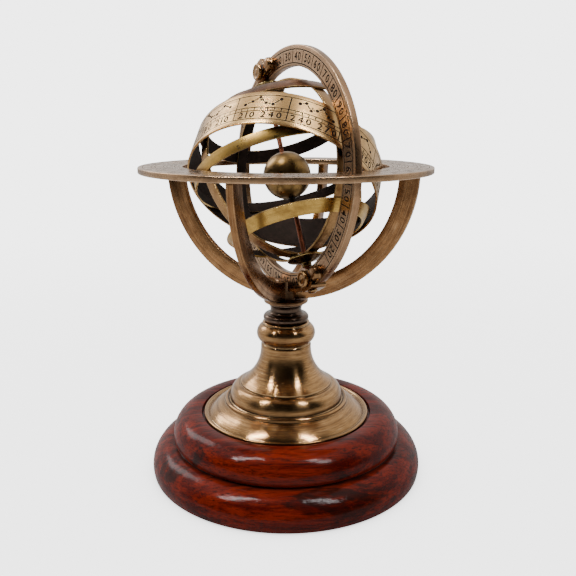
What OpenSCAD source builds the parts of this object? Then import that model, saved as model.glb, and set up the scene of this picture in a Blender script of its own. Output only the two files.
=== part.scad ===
// Armillary sphere: an engraved ring-and-hoop model of the sky on a turned brass foot and a wooden base.
// Units are millimetres. +Z is up, the origin is the middle of the base's underside, and the meridian
// ring stands in the YZ plane with the north pole leaning towards +Y.

/* [Wooden base] */
// Largest radius of the lower tier
base_r = 50.5; // [47:0.1:54]
// Height of the groove between the two tiers
lower_tier_h = 11.3; // [10:0.1:12]
// Radius of the lower tier's rounded edge
lower_round = 8.5; // [7:0.1:9]
// Largest radius of the upper tier
upper_tier_r = 42.5; // [41:0.1:44]
// Radius of the upper tier's rounded edge
upper_round = 8; // [6:0.1:8.5]
// Height of the top of the wood
base_h = 21.6; // [21:0.1:24]
// Depth of the recess that takes the brass foot
recess_depth = 1.5; // [1:0.1:2.5]
// Thickness of the felt under the base
felt_t = 0.8; // [0.5:0.1:1.5]

/* [Foot and stem] */
// Radius of the brass foot's flange
flange_r = 30.9; // [29:0.1:31.5]
// Radius of the bell where it meets the ball knop
neck_r = 9.3; // [8:0.1:10]
// Largest radius of the ball knop
knop_r = 10.8; // [10.4:0.1:12]
// Largest radius of the dark collar's torus
collar_r = 8.35; // [7.8:0.05:9]
// Radius of the tie bolt's thread
bolt_r = 2; // [1.5:0.1:2.2]

/* [Cradle and horizon] */
// Height of the horizon ring's middle plane above the table
horizon_h = 111.5; // [110:0.5:115]
// Outer radius of the horizon ring
horizon_r = 50.8; // [49:0.1:54]
// Inner radius of the horizon ring
horizon_bore_r = 35.85; // [35:0.05:37]
// Thickness of the horizon ring
horizon_t = 2; // [1.5:0.1:3]
// Outer radius of the cradle arms
arm_r = 46.84; // [45.5:0.02:47.5]
// Radial width of the cradle arms
arm_w = 6.74; // [6:0.02:6.8]
// Thickness of the cradle arms
arm_t = 2.4; // [1.8:0.1:2.8]
// Angle between the meridian ring and the arm nearest to its south side, towards the west
arm_angle = 49; // [44:0.5:49]
// Radius of the hub's round plate
hub_plate_r = 8.1; // [7:0.1:10]
// Radius of the hub's slotted boss
hub_boss_r = 3.9; // [3.8:0.1:4.5]

/* [Meridian ring and axis] */
// How far the sphere's centre lies below the horizon ring's middle plane
centre_drop = 1.4; // [0:0.1:1.6]
// Outer radius of the meridian ring
meridian_r = 42.3; // [41.5:0.1:42.5]
// Inner radius of the meridian ring
meridian_bore_r = 35.4; // [34.5:0.1:36]
// Thickness of the meridian ring
meridian_t = 2.6; // [2:0.1:2.6]
// Lean of the meridian ring's plane from the vertical, towards the east
meridian_lean = 2.3; // [0:0.1:2.4]
// Lean of the polar axis within the meridian ring's plane
axis_tilt = 29.3; // [27:0.1:40]
// Radius of the axis rod
rod_r = 0.85; // [0.7:0.05:0.9]
// Radius of the central ball
globe_r = 8.3; // [5:0.05:9.5]
// How far down the rod the ball rests from the sphere's centre
globe_drop = 1.4; // [0:0.1:3]

/* [Cage of hoops] */
// Outer radius of the two colures
colure_r = 31.56; // [30:0.02:31.6]
// Thickness of every hoop
hoop_t = 0.7; // [0.5:0.05:0.7]
// Width of the colures
colure_w = 4; // [3:0.1:5]
// Width of the equator hoop
equator_w = 3.8; // [3:0.1:5]
// Width of the two tropic hoops
tropic_w = 4.8; // [3:0.1:4.8]
// Latitude of the north tropic hoop's middle
north_lat = 35.7; // [30:0.1:42]
// Latitude of the south tropic hoop's middle
south_lat = -43.9; // [-46:0.1:-30]
// Width of the zodiac band
zodiac_w = 13.2; // [8:0.2:14]
// Tilt of the zodiac band from the equator
obliquity = 28.6; // [22:0.1:29]
// Turn of the zodiac band about the axis rod, from the cage's hoops
zodiac_turn = 3.2; // [0:0.1:359]
// Shift of the zodiac band along its own axis
zodiac_shift = -2.4; // [-2.5:0.1:0]
// Turn of the whole cage about the axis rod, from the meridian plane
cage_turn = 6; // [0:1:359]

/* [Hidden] */
$fn = 96;

fixed_gap = 0.02;       // gap between pieces that are fixed to each other
running_gap = 0.05;     // radial gap of a piece that turns on the rod
slide_gap = 0.1;        // gap each side of the meridian ring in its slots
eps = 0.01;

// Base
wood_bottom = 0.3;                      // the felt stands this far out of the wood
felt_r = base_r - 4.5;
recess_r = flange_r + 0.8;
foot_bottom = base_h - recess_depth;
counterbore_r = 6.5;
counterbore_h = 6;
washer_t = 0.8;
washer_r = 4.5;
bolt_head_r = 4.04;
bolt_head_h = 2.8;

// Foot and stem heights
foot_top = 56.1;
neck_z = 46.5;
knop_z = 51.7;
knop_round = 3.9;
bell_z = 33;
bell_r = 16.9;
ogee_z = 26.9;
ogee_r = 21;
step_r = 22.9;
flange_slope_top = 25.7;
collar_tube_r = 1.5;
collar_neck_r = 5.7;
hub_plate_t = 1.4;
arm_r_in = arm_r - arm_w;
hub_top = horizon_h - arm_r_in + 0.4;
plate_top = horizon_h - arm_r;
plate_bottom = plate_top - hub_plate_t;
spigot_r = 3.6;
spigot_h = 4;
tenon = 0.2;
bolt_top = plate_top + 2;

// Horizon screws
arm_mid_r = (arm_r + arm_r_in) / 2;
screw_r = 0.6;
screw_head_r = 1.15;
screw_l = 5;

// Sphere
centre_z = horizon_h - centre_drop;
centre_x = meridian_r * sin(meridian_lean);     // the ring leans about its lowest point, over the hub
rod_x = -1.6;             // the rod lies in a groove in the meridian ring's west face
saddle_west = 3.6;
saddle_east = 2.1;
saddle_l = 7;
saddle_r_in = 36.6;
saddle_r_out = 43.2;
tab_t = 1;                // tab of the saddle, lying on the meridian ring's west face
tab_r_in = 36.7;
tab_r_out = 42;
tab_angle = 8;
post_r = 2.5;
post_out = 4;
thumb_r = 39.3;           // distance of the thumb screws from the sphere's centre
thumb_shank_r = 0.9;
thumb_head_r = 3;
thumb_head_t = 1.4;
thumb_out = 5.1;
thumb_round = 0.5;
nut_r = 1.6;
nut_h = 0.6;
nut_dome_r = 2.2;
rod_l = saddle_r_out + 0.75;

// Cage
hoop_r_in = sqrt(pow(colure_r, 2) + pow(colure_w / 2, 2)) + fixed_gap;
hoop_r = hoop_r_in + hoop_t;
zodiac_r_in = sqrt(pow(hoop_r, 2) + pow(max(equator_w, tropic_w) / 2, 2)) + fixed_gap;
plate_r = 6.2;
plate_boss_r = 1.7;
plate_boss_top = meridian_bore_r - 0.2;

// Points on an arc about (cx, cz), from angle a0 to a1
function arc(cx, cz, r, a0, a1, steps = 12) =
    [for (i = [0:steps]) let (a = a0 + (a1 - a0) * i / steps) [cx + r * cos(a), cz + r * sin(a)]];

// Concave quarter of the bell, from its foot up to the neck
function bell_curve(steps = 16) =
    let (rise = neck_z - bell_z, run = bell_r - neck_r,
         r = (rise * rise + run * run) / (2 * run),
         a = asin(rise / r))
    arc(neck_r + r, neck_z, r, 180 + a, 180, steps);

// Convex ogee between the stepped ring and the bell
function ogee_curve(steps = 10) =
    [for (i = [0:steps])
        let (t = 90 * i / steps)
        [bell_r + 0.5 + (ogee_r - bell_r - 0.5) * cos(t), ogee_z + (bell_z - 0.7 - ogee_z) * sin(t)]];

// Places its children in the meridian ring's frame, with the origin at the sphere's centre
module meridian_frame() {
    translate([centre_x, 0, centre_z]) rotate([0, meridian_lean, 0]) children();
}

// Places its children in the frame of the polar axis
module polar() {
    meridian_frame() rotate([-axis_tilt, 0, 0]) children();
}

// Places its children in the frame of the axis rod
module axis() {
    polar() translate([rod_x, 0, 0]) children();
}

// Places its children in the frame of the cage, which turns about the axis rod
module cage() {
    axis() rotate([0, 0, cage_turn]) children();
}

// Flat ring or short tube about Z, from z0 up
module ring(r_out, r_in, h, z0) {
    translate([0, 0, z0]) difference() {
        cylinder(r = r_out, h = h);
        translate([0, 0, -eps]) cylinder(r = r_in, h = h + 2 * eps);
    }
}

module wooden_base() {
    color("firebrick") difference() {
        rotate_extrude() intersection() {
            union() {
                square([base_r - lower_round, lower_tier_h]);
                translate([base_r - lower_round, lower_tier_h - lower_round]) circle(r = lower_round);
                square([upper_tier_r - upper_round, base_h]);
                translate([upper_tier_r - upper_round, base_h - upper_round]) circle(r = upper_round);
            }
            translate([0, wood_bottom]) square([base_r + 1, base_h]);
        }
        translate([0, 0, foot_bottom]) cylinder(r = recess_r, h = recess_depth + 1);
        cylinder(r = felt_r + 0.2, h = felt_t);
        cylinder(r = counterbore_r, h = counterbore_h);
        cylinder(r = bolt_r + 0.2, h = base_h);
    }
}

module base_felt() {
    color("darkgreen") cylinder(r = felt_r, h = felt_t - fixed_gap);
}

module bolt_washer() {
    color("silver") ring(washer_r, bolt_r + 0.2, washer_t, counterbore_h - washer_t - fixed_gap);
}

module tie_bolt() {
    head_top = counterbore_h - washer_t - 2 * fixed_gap;
    color("silver") {
        translate([0, 0, head_top - bolt_head_h]) cylinder(r = bolt_head_r, h = bolt_head_h, $fn = 6);
        translate([0, 0, head_top - eps]) cylinder(r = bolt_r, h = bolt_top - 1 - head_top);
    }
}

module foot() {
    outline = concat(
        [[bolt_r + 0.2, foot_bottom], [flange_r, foot_bottom], [flange_r, base_h - 0.3]],
        arc(flange_r - 0.6, base_h - 0.3, 0.6, 20, 160, 6),
        [[29.2, base_h - 0.2], [28.9, base_h + 0.1]],
        [[step_r + 0.1, flange_slope_top], [step_r, flange_slope_top + 0.1]],
        arc(step_r - 0.6, flange_slope_top + 0.6, 0.6, 0, 90, 5),
        ogee_curve(),
        [[bell_r, bell_z - 0.4]],
        bell_curve(),
        [[neck_r, neck_z + 1], [neck_r - 0.35, neck_z + 1.4]],
        arc(knop_r - knop_round, knop_z, knop_round, -58, 62, 18),
        [[8.45, foot_top - 0.7]],
        arc(8.35, foot_top - 0.35, 0.35, -60, 90, 5),
        [[bolt_r + 0.2, foot_top]]);
    color("darkgoldenrod") difference() {
        rotate_extrude() polygon(outline);
        translate([0, 0, foot_bottom - eps]) cylinder(r1 = 18, r2 = 13.5, h = 6);
        translate([0, 0, foot_bottom]) cylinder(r1 = 13.5, r2 = 5, h = 20);
    }
}

module stem_collar() {
    torus_z = foot_top + collar_tube_r;
    color("dimgray") difference() {
        rotate_extrude() union() {
            translate([0, foot_top + fixed_gap])
                square([collar_r - collar_tube_r, 2 * collar_tube_r - fixed_gap]);
            translate([collar_r - collar_tube_r, torus_z + fixed_gap]) circle(r = collar_tube_r);
            translate([0, torus_z]) square([collar_neck_r, plate_bottom - fixed_gap - torus_z]);
        }
        cylinder(r = bolt_r + 0.2, h = plate_top);
        translate([0, 0, plate_bottom - spigot_h - 0.2]) cylinder(r = spigot_r + fixed_gap, h = spigot_h + 1);
    }
}

module hub() {
    color("peru") difference() {
        union() {
            translate([0, 0, plate_bottom]) cylinder(r1 = hub_plate_r - 0.5, r2 = hub_plate_r, h = 0.5);
            translate([0, 0, plate_bottom + 0.5]) cylinder(r = hub_plate_r, h = hub_plate_t - 0.5);
            translate([0, 0, plate_bottom - spigot_h]) cylinder(r = spigot_r, h = spigot_h + 0.1);
            translate([0, 0, plate_bottom]) cylinder(r = hub_boss_r, h = hub_top - plate_bottom);
        }
        translate([0, 0, plate_bottom - spigot_h - 1])
            cylinder(r = bolt_r + fixed_gap, h = bolt_top - plate_bottom + spigot_h + 1);
        slot_w = meridian_t + 2 * slide_gap;
        meridian_frame() translate([-slot_w / 2, -hub_plate_r, -meridian_r - slide_gap])
            cube([slot_w, 2 * hub_plate_r, 20]);
        for (turn = [0:90:270]) rotate([0, 0, 270 - arm_angle + turn])
            translate([hub_boss_r - tenon - fixed_gap, -arm_t / 2 - fixed_gap, plate_top])
                cube([hub_boss_r, arm_t + 2 * fixed_gap, 20]);
    }
}

module cradle_arm(turn) {
    tip_z = -horizon_t / 2 - fixed_gap;
    color("peru") translate([0, 0, horizon_h]) rotate([0, 0, 270 - arm_angle + turn]) difference() {
        rotate([90, 0, 0]) translate([0, 0, -arm_t / 2]) linear_extrude(arm_t) intersection() {
            difference() {
                circle(r = arm_r - fixed_gap);
                circle(r = arm_r_in);
            }
            translate([hub_boss_r - tenon, -arm_r]) square([arm_r, arm_r + tip_z]);
        }
        translate([arm_mid_r, 0, tip_z - screw_l]) cylinder(r = screw_r + fixed_gap, h = screw_l + 1);
    }
}

module horizon_ring() {
    notch_w = meridian_t + 2 * slide_gap;
    notch_l = meridian_r + 2 * slide_gap;
    color("sienna") difference() {
        ring(horizon_r, horizon_bore_r, horizon_t, horizon_h - horizon_t / 2);
        meridian_frame() translate([-notch_w / 2, -notch_l, centre_drop - horizon_t])
            cube([notch_w, 2 * notch_l, 2 * horizon_t]);
        for (turn = [0:90:270]) rotate([0, 0, 270 - arm_angle + turn]) translate([arm_mid_r, 0, 0]) {
            cylinder(r = screw_r + fixed_gap, h = 2 * horizon_h);
            translate([0, 0, horizon_h + horizon_t / 2 - (screw_head_r - screw_r)])
                cylinder(r1 = screw_r + fixed_gap, r2 = screw_head_r + fixed_gap, h = screw_head_r - screw_r + eps);
        }
    }
}

module horizon_screws() {
    head_h = screw_head_r - screw_r;
    color("goldenrod") for (turn = [0:90:270])
        rotate([0, 0, 270 - arm_angle + turn]) translate([arm_mid_r, 0, horizon_h + horizon_t / 2]) {
            translate([0, 0, -head_h]) cylinder(r1 = screw_r, r2 = screw_head_r, h = head_h);
            translate([0, 0, -screw_l]) cylinder(r = screw_r, h = screw_l - head_h + eps);
        }
}

module meridian_ring() {
    color("sienna") polar() difference() {
        rotate([0, 90, 0]) ring(meridian_r, meridian_bore_r, meridian_t, -meridian_t / 2);
        translate([rod_x, 0, -meridian_r - 1]) cylinder(r = rod_r + fixed_gap, h = 2 * meridian_r + 2);
    }
}

// Outline of the block that straddles the meridian ring at one pole
module saddle_outline() {
    corner = 1.2;
    translate([-saddle_l / 2, saddle_r_in + corner])
        square([saddle_l, saddle_r_out - saddle_r_in - 2 * corner]);
    translate([corner - saddle_l / 2, saddle_r_in])
        square([saddle_l - 2 * corner, saddle_r_out - saddle_r_in]);
    for (side = [-1, 1]) for (z = [saddle_r_in + corner, saddle_r_out - corner])
        translate([side * (saddle_l / 2 - corner), z]) circle(r = corner);
}

// Outline of the curved tab that runs from the block along the meridian ring's west face
module tab_outline() {
    tab_mid_r = (tab_r_in + tab_r_out) / 2;
    intersection() {
        difference() {
            circle(r = tab_r_out);
            circle(r = tab_r_in);
        }
        polygon([[0, 0], [0, 2 * tab_r_out], [-2 * tab_r_out * tan(tab_angle), 2 * tab_r_out]]);
    }
    rotate(tab_angle) translate([0, tab_mid_r]) circle(r = tab_mid_r - tab_r_in);
}

// Block and tab at one pole: the rod passes through the block, the thumb screw bears on the rod
module saddle() {
    face = meridian_t / 2 + fixed_gap;
    color("peru") difference() {
        union() {
            translate([-saddle_west, 0, 0]) rotate([90, 0, 90])
                linear_extrude(saddle_west + saddle_east) saddle_outline();
            translate([-face - tab_t, 0, 0]) rotate([90, 0, 90]) linear_extrude(tab_t) tab_outline();
            rotate([tab_angle, 0, 0]) translate([-face, 0, (tab_r_in + tab_r_out) / 2]) rotate([0, -90, 0])
                cylinder(r = post_r, h = post_out - face);
        }
        translate([-face, 0, 0]) rotate([0, 90, 0]) cylinder(r = meridian_r + fixed_gap, h = 2 * face);
        translate([rod_x, 0, 0]) cylinder(r = rod_r + fixed_gap, h = saddle_r_out + 1);
        translate([0, 0, thumb_r]) rotate([0, -90, 0])
            cylinder(r = thumb_shank_r + running_gap, h = saddle_west + 1);
    }
}

module thumb_screw() {
    head_in = thumb_out - thumb_head_t;
    color("goldenrod") translate([0, 0, thumb_r]) rotate([0, -90, 0]) {
        translate([0, 0, rod_r - rod_x + running_gap])
            cylinder(r = thumb_shank_r, h = head_in - rod_r + rod_x);
        translate([0, 0, head_in]) rotate_extrude() union() {
            square([thumb_head_r - thumb_round, thumb_head_t]);
            translate([0, thumb_round]) square([thumb_head_r, thumb_head_t - 2 * thumb_round]);
            for (z = [thumb_round, thumb_head_t - thumb_round])
                translate([thumb_head_r - thumb_round, z]) circle(r = thumb_round);
        }
    }
}

module axis_nut() {
    translate([0, 0, saddle_r_out + fixed_gap]) difference() {
        union() {
            cylinder(r = nut_r, h = nut_h);
            translate([0, 0, nut_h - sqrt(nut_dome_r * nut_dome_r - nut_r * nut_r)]) intersection() {
                sphere(r = nut_dome_r);
                cylinder(r = nut_r, h = 2 * nut_dome_r);
            }
        }
        translate([0, 0, -1]) cylinder(r = rod_r + fixed_gap, h = 1.8);
        translate([0, 0, -2]) cylinder(r = nut_r + 1, h = 2);
    }
}

module axis_nuts() {
    color("goldenrod") axis() for (side = [0, 180]) rotate([side, 0, 0]) axis_nut();
}

module axis_rod() {
    color("chocolate") axis() translate([0, 0, -rod_l]) cylinder(r = rod_r, h = 2 * rod_l);
}

module globe() {
    color("olive") axis() difference() {
        translate([0, 0, -globe_drop]) sphere(r = globe_r);
        translate([0, 0, -globe_drop - globe_r - 1]) cylinder(r = rod_r + running_gap, h = 2 * globe_r + 2);
    }
}

module globe_collar() {
    top = -globe_drop - globe_r - 0.1;
    color("black") axis() ring(1.2, rod_r + fixed_gap, 2.6, top - 2.6);
}

// Half-lapped hoop through both poles, in the XZ plane of its own frame
module colure(lap_from, lap_to) {
    difference() {
        rotate([90, 0, 0]) ring(colure_r, colure_r - hoop_t, colure_w, -colure_w / 2);
        for (side = [0, 180]) rotate([side, 0, 0]) {
            translate([-colure_w / 2 - fixed_gap, -colure_w, lap_from])
                cube([colure_w + 2 * fixed_gap, 2 * colure_w, lap_to - lap_from]);
            cylinder(r = rod_r + 0.4, h = colure_r + 1);
        }
    }
}

module equinoctial_colure() {
    color("saddlebrown") cage() rotate([0, 0, 90]) colure(colure_r - hoop_t / 2, colure_r + 1);
}

module solstitial_colure() {
    inside = colure_r - hoop_t / 2 + fixed_gap;
    color("saddlebrown") cage() colure(colure_r - 2 * hoop_t, inside);
}

// Hoop parallel to the equator whose flat section lies along the sphere at the given latitude
module parallel_hoop(lat, w) {
    rotate_extrude() rotate(lat) translate([hoop_r_in, -w / 2]) square([hoop_t, w]);
}

module equator_hoop() {
    color("darkgoldenrod") cage() ring(hoop_r, hoop_r_in, equator_w, -equator_w / 2);
}

module north_tropic_hoop() {
    color("darkgoldenrod") cage() parallel_hoop(north_lat, tropic_w);
}

module south_tropic_hoop() {
    color("darkgoldenrod") cage() parallel_hoop(south_lat, tropic_w);
}

module zodiac_band() {
    color("khaki") cage() rotate([0, 0, zodiac_turn]) rotate([0, obliquity, 0])
        ring(zodiac_r_in + hoop_t, zodiac_r_in, zodiac_w, zodiac_shift - zodiac_w / 2);
}

module pole_plate() {
    color("olive") difference() {
        union() {
            translate([0, 0, hoop_r_in]) cylinder(r = plate_r, h = hoop_t);
            translate([0, 0, hoop_r]) cylinder(r1 = plate_r - 0.6, r2 = plate_boss_r, h = 1.4);
            translate([0, 0, hoop_r_in]) cylinder(r = plate_boss_r, h = plate_boss_top - hoop_r_in);
        }
        cylinder(r = rod_r + running_gap, h = meridian_r);
    }
}

wooden_base();
base_felt();
tie_bolt();
bolt_washer();
foot();
stem_collar();
hub();
cradle_arm(0);  // cradle_arm_southwest
cradle_arm(90);  // cradle_arm_southeast
cradle_arm(180);  // cradle_arm_northeast
cradle_arm(270);  // cradle_arm_northwest
horizon_ring();
horizon_screws();
meridian_ring();
polar() saddle();  // north_saddle
polar() mirror([0, 0, 1]) saddle();  // south_saddle
polar() thumb_screw();  // north_thumb_screw
polar() mirror([0, 0, 1]) thumb_screw();  // south_thumb_screw
axis_rod();
axis_nuts();
globe();
globe_collar();
equinoctial_colure();
solstitial_colure();
equator_hoop();
north_tropic_hoop();
south_tropic_hoop();
zodiac_band();
cage() pole_plate();  // north_pole_plate
cage() mirror([0, 0, 1]) pole_plate();  // south_pole_plate
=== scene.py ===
import math

import bmesh
import bpy
from mathutils import Matrix, Vector


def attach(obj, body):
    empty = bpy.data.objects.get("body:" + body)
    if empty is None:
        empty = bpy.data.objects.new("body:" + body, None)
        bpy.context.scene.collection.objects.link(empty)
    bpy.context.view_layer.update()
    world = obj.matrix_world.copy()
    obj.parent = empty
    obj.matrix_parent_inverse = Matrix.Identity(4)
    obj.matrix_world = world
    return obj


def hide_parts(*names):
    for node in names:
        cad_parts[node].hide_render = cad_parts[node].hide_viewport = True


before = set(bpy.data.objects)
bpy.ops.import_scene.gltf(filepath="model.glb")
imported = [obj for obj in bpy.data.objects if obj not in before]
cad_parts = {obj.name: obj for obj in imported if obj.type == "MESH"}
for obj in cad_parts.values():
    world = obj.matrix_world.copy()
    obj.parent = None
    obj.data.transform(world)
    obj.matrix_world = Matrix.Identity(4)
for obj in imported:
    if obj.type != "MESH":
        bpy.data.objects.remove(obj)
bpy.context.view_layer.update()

MM = 0.001
TAU = 2 * math.pi
SEGS = 288

# ---------------------------------------------------------------- sizes in mm and degrees, as in the CAD source
HORIZON_Z = 111.5                 # mid-height of the horizon ring
CENTRE_Z = 110.1                  # height of the sphere's centre
HORIZON_IN, HORIZON_OUT, HORIZON_HALF = 35.85, 50.8, 1.0
MERIDIAN_IN, MERIDIAN_R, MERIDIAN_HALF = 35.4, 42.3, 1.3
NOTCH_W = 2.8                     # hub slot and horizon notches, for the meridian ring
LEAN = 2.3                        # the meridian ring leans east
TILT = 29.3                       # the polar axis at rest
ROD_X = -1.6                      # the rod lies west of the meridian ring's middle
ROD_R, ROD_BORE_R, ROD_END = 0.85, 0.87, 43.9
ARM_IN, ARM_OUT, ARM_HALF = 40.1, 46.82, 1.2
ARM_MID = 43.47                   # radius of the screws in the arms' tips
ARM_TURNS = [270 - 49 + 90 * i for i in range(4)]
COLURE_R, COLURE_W, HOOP_T = 31.56, 4.0, 0.7
EQUATOR_W, TROPIC_W, ZODIAC_W = 3.8, 4.8, 13.2
TROPIC_N, TROPIC_S = 35.7, -43.9  # latitudes of the two tropic hoops
CAGE_TURN = 6.0
OBLIQUITY = 28.6
ZODIAC_TURN = 3.2
ZODIAC_SHIFT = -2.4
GAP = 0.02                        # left between pieces that lie on each other
HOOP_R = math.hypot(COLURE_R, COLURE_W / 2) + GAP
ZODIAC_IN = math.hypot(HOOP_R + HOOP_T, TROPIC_W / 2) + GAP
ZODIAC_R = ZODIAC_IN + HOOP_T
GLOBE_R, GLOBE_DROP, GLOBE_BORE_R = 8.3, 1.4, 0.9
THUMB_R = 39.3                    # distance of the thumb screws from the sphere's centre
TAB_IN, TAB_OUT, TAB_ANGLE = 36.7, 42.0, 8.0
TAB_MID = (TAB_IN + TAB_OUT) / 2
BOLT_R = 2.2                      # bore for the tie bolt
DEPTH = 0.14                      # depth of all engraving


def rot(degrees, axis):
    return Matrix.Rotation(math.radians(degrees), 4, axis)


WORLD = Matrix.Identity(4)
MERIDIAN_PLANE = (Matrix.Translation((MERIDIAN_R * math.sin(math.radians(LEAN)), 0, CENTRE_Z))
                  @ rot(LEAN, "Y"))
POLAR = MERIDIAN_PLANE @ rot(-TILT, "X")
AXIS = POLAR @ Matrix.Translation((ROD_X, 0, 0))
CAGE = AXIS @ rot(CAGE_TURN, "Z")
ZODIAC = CAGE @ rot(ZODIAC_TURN, "Z") @ rot(OBLIQUITY, "Y") @ Matrix.Translation((0, 0, ZODIAC_SHIFT))
EQUINOX = CAGE @ rot(90, "Z") @ rot(90, "X")
SOLSTICE = CAGE @ rot(90, "X")
# the meridian ring's plate frame: +Z out of the west face, +X towards the north pole
MERIDIAN = POLAR @ Matrix(((0, 0, -1, 0), (0, 1, 0, 0), (1, 0, 0, 0), (0, 0, 0, 1)))
HORIZON = Matrix.Translation((0, 0, HORIZON_Z))


# ---------------------------------------------------------------- mesh building
def arc(cx, cz, r, a0, a1, steps=8):
    return [(cx + r * math.cos(math.radians(a0 + (a1 - a0) * i / steps)),
             cz + r * math.sin(math.radians(a0 + (a1 - a0) * i / steps))) for i in range(steps + 1)]


def rounded(points, radius, steps=4):
    """The closed outline with every corner rounded; radius is a number or one per corner."""
    out = []
    n = len(points)
    for i in range(n):
        r = radius if isinstance(radius, (int, float)) else radius[i]
        p, a, b = Vector(points[i]), Vector(points[i - 1]), Vector(points[(i + 1) % n])
        if r <= 0:
            out.append(tuple(p))
            continue
        u, v = (a - p).normalized(), (b - p).normalized()
        half = math.acos(max(-1, min(1, u.dot(v)))) / 2
        d = r / math.tan(half)
        s, e = p + u * d, p + v * d
        c = p + (u + v).normalized() * (r / math.sin(half))
        sa = math.atan2(s.y - c.y, s.x - c.x)
        ea = math.atan2(e.y - c.y, e.x - c.x)
        while ea - sa > math.pi:
            ea -= TAU
        while ea - sa < -math.pi:
            ea += TAU
        turns = [sa + (ea - sa) * k / steps for k in range(steps + 1)]
        out += [(c.x + r * math.cos(t), c.y + r * math.sin(t)) for t in turns]
    return out


def lathe_data(profile, segs=SEGS, closed=True):
    """Vertices and faces of a profile of (r, z) turned about Z. A point on the axis becomes one vertex."""
    verts, rows, faces = [], [], []
    for r, z in profile:
        if r < 1e-6:
            rows.append([len(verts)])
            verts.append((0, 0, z))
        else:
            rows.append(list(range(len(verts), len(verts) + segs)))
            verts += [(r * math.cos(TAU * k / segs), r * math.sin(TAU * k / segs), z) for k in range(segs)]
    n = len(profile)
    for i in range(n if closed else n - 1):
        a, b = rows[i], rows[(i + 1) % n]
        for k in range(segs):
            k2 = (k + 1) % segs
            if len(a) == 1 and len(b) == 1:
                continue
            if len(a) == 1:
                faces.append((a[0], b[k2], b[k]))
            elif len(b) == 1:
                faces.append((a[k], a[k2], b[0]))
            else:
                faces.append((a[k], a[k2], b[k2], b[k]))
    return verts, faces


def prism_data(outline, z0, z1):
    """A flat outline (anticlockwise) drawn out from z0 to z1."""
    n = len(outline)
    verts = [(x, y, z0) for x, y in outline] + [(x, y, z1) for x, y in outline]
    faces = [tuple(range(n - 1, -1, -1)), tuple(range(n, 2 * n))]
    faces += [(i, (i + 1) % n, n + (i + 1) % n, n + i) for i in range(n)]
    return verts, faces


def join_data(parts):
    verts, faces = [], []
    for v, f in parts:
        o = len(verts)
        verts += v
        faces += [tuple(i + o for i in face) for face in f]
    return verts, faces


def move_data(data, fn):
    return [fn(*v) for v in data[0]], data[1]


def placed(matrix):
    return lambda x, y, z: tuple(matrix @ Vector((x, y, z)))


def make(name, data, matrix=WORLD, materials=(), angle=35):
    """A mesh object in metres from data in millimetres, with outward normals and sharp edges kept."""
    me = bpy.data.meshes.new(name)
    me.from_pydata([tuple(matrix @ Vector(v) * MM) for v in data[0]], [], data[1])
    bm = bmesh.new()
    bm.from_mesh(me)
    bmesh.ops.recalc_face_normals(bm, faces=bm.faces)
    bm.to_mesh(me)
    bm.free()
    ob = bpy.data.objects.new(name, me)
    bpy.context.scene.collection.objects.link(ob)
    for m in materials:
        me.materials.append(m)
    smooth(ob, angle)
    return ob


def smooth(ob, angle=35):
    me = ob.data
    me.shade_smooth()
    me.set_sharp_from_angle(angle=math.radians(angle))


def apply_modifiers(ob):
    dg = bpy.context.evaluated_depsgraph_get()
    me = bpy.data.meshes.new_from_object(ob.evaluated_get(dg), preserve_all_data_layers=True, depsgraph=dg)
    ob.modifiers.clear()
    ob.data = me


def cut(ob, data, matrix=WORLD, groove=None, op="DIFFERENCE"):
    """Cuts a solid out of ob, or adds it. The cut's faces take the material groove when it is given."""
    cutter = make(ob.name + "_cut", data, matrix, [groove] if groove else [])
    mod = ob.modifiers.new("cut", "BOOLEAN")
    mod.operation, mod.object, mod.solver = op, cutter, "MANIFOLD"
    mod.material_mode = "TRANSFER" if groove else "INDEX"
    before = len(ob.data.polygons)
    apply_modifiers(ob)
    bpy.data.objects.remove(cutter)
    if len(ob.data.polygons) == before and op == "DIFFERENCE":
        print("NOTE: nothing cut from", ob.name)


def bevel(ob, width, segments=2, angle=40):
    mod = ob.modifiers.new("bevel", "BEVEL")
    mod.width, mod.segments, mod.harden_normals = width * MM, segments, False
    mod.limit_method, mod.angle_limit = "ANGLE", math.radians(angle)
    apply_modifiers(ob)
    smooth(ob, 50)


# ---------------------------------------------------------------- glyphs: the built-in font's digits as solids
_glyphs = {}


def glyph(ch):
    """(verts, faces, width) of one figure, 1 unit tall, from z 0 to 1."""
    if ch not in _glyphs:
        cu = bpy.data.curves.new("glyph", "FONT")
        cu.body = ch
        cu.extrude = 0.5
        cu.resolution_u = 3
        cu.offset = 0.03
        ob = bpy.data.objects.new("glyph", cu)
        bpy.context.scene.collection.objects.link(ob)
        me = bpy.data.meshes.new_from_object(ob.evaluated_get(bpy.context.evaluated_depsgraph_get()))
        bpy.data.objects.remove(ob)
        bm = bmesh.new()
        bm.from_mesh(me)
        bmesh.ops.remove_doubles(bm, verts=bm.verts, dist=1e-5)
        co = [v.co.copy() for v in bm.verts]
        x0, x1 = min(c.x for c in co), max(c.x for c in co)
        y0, y1 = min(c.y for c in co), max(c.y for c in co)
        h = y1 - y0
        verts = [((c.x - x0) / h, (c.y - y0) / h, c.z + 0.5) for c in co]
        faces = [tuple(v.index for v in f.verts) for f in bm.faces]
        bm.free()
        bpy.data.meshes.remove(me)
        _glyphs[ch] = (verts, faces, (x1 - x0) / h)
    return _glyphs[ch]


def word(text, height, gap=0.16, squeeze=1.0):
    """Solids of a row of figures centred on the origin, height tall, z from 0 to 1."""
    parts, x = [], 0.0
    for ch in text:
        if ch == " ":
            x += 0.45 * squeeze
            continue
        v, f, w = glyph(ch)
        parts.append(([(px * squeeze + x, py, pz) for px, py, pz in v], f))
        x += w * squeeze + gap
    x -= gap
    verts, faces = join_data(parts)
    return [((px - x / 2) * height, (py - 0.5) * height, pz) for px, py, pz in verts], faces


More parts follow.
